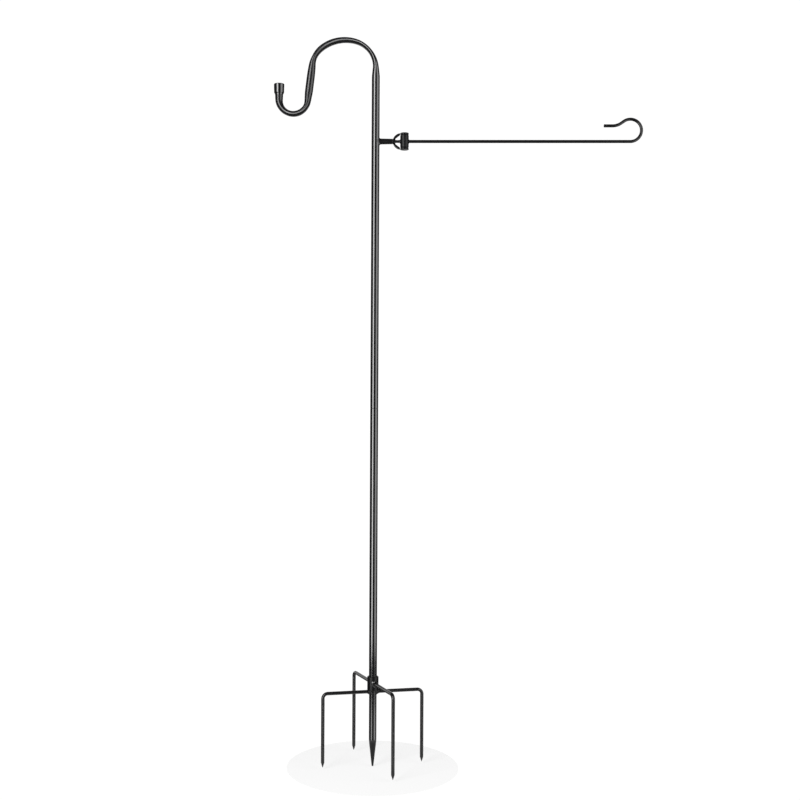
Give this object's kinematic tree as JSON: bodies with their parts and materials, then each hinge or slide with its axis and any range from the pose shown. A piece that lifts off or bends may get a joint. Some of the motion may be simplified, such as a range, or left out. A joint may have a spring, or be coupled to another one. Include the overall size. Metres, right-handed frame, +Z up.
{
  "type": "hanging plant stand",
  "caption": "Push-in garden stand: a straight screw-together pole with a shepherd's hook for a hanging plant, a side arm for a small flag, and a stake with side prongs.",
  "frame": {"origin": "on the stake's axis at soil level, the height to which the stake and prongs are pushed in", "axes": "+Z up along the pole, -X towards the hook, +X along the flag arm, -Y towards the picture's viewer"},
  "size_m": [0.578, 0.1508, 1.1456],
  "materials": {
    "black_coat": "gloss black powder coat on steel",
    "vinyl_cap": "glossy dipped vinyl",
    "black_rubber": "smooth black rubber",
    "zinc_steel": "zinc-plated steel, hidden inside the pole"
  },
  "bodies": {
    "base": {"ground_stake": "black_coat", "base_collar": "black_coat", "base_stud": "zinc_steel", "prong_left": "black_coat", "prong_right": "black_coat", "prong_front": "black_coat", "prong_rear": "black_coat", "stake_weld": "black_coat", "collar_weld": "black_coat"},
    "lower_pole_body": {"lower_pole": "black_coat", "pole_foot_bush": "zinc_steel", "pole_top_bush": "zinc_steel"},
    "upper_pole_body": {"upper_pole": "black_coat", "joint_stud": "zinc_steel", "arm_socket": "black_coat", "arm_socket_weld": "black_coat"},
    "hook": {"hook_tube": "black_coat", "hook_spigot": "zinc_steel", "hook_end_cap": "vinyl_cap"},
    "arm": {"flag_arm": "black_coat"},
    "nut": {"wing_nut": "black_coat"},
    "stopper": {"flag_stopper": "black_rubber"}
  },
  "joints": [
    {"name": "lower_pole_turn", "type": "hinge", "parent": "base", "child": "lower_pole_body", "pos_m": [0, 0, 0.0128], "axis": [0, 0, 1], "range_deg": [0, 270]},
    {"name": "upper_pole_turn", "type": "hinge", "parent": "lower_pole_body", "child": "upper_pole_body", "pos_m": [0, 0, 0.45185], "axis": [0, 0, 1], "range_deg": [0, 270]},
    {"name": "hook_swivel", "type": "hinge", "parent": "upper_pole_body", "child": "hook", "pos_m": [0, 0, 0.8974], "axis": [0, 0, 1], "continuous": true},
    {"name": "flag_arm_turn", "type": "hinge", "parent": "upper_pole_body", "child": "arm", "pos_m": [0.0265, 0, 0.8714], "axis": [1, 0, 0], "range_deg": [-180, 180]},
    {"name": "wing_nut_spin", "type": "hinge", "parent": "arm", "child": "nut", "pos_m": [0.029, 0, 0.8714], "axis": [1, 0, 0], "continuous": true},
    {"name": "stopper_slide", "type": "slide", "parent": "arm", "child": "stopper", "axis": [1, 0, 0], "range_m": [0, 0.34]}
  ]
}
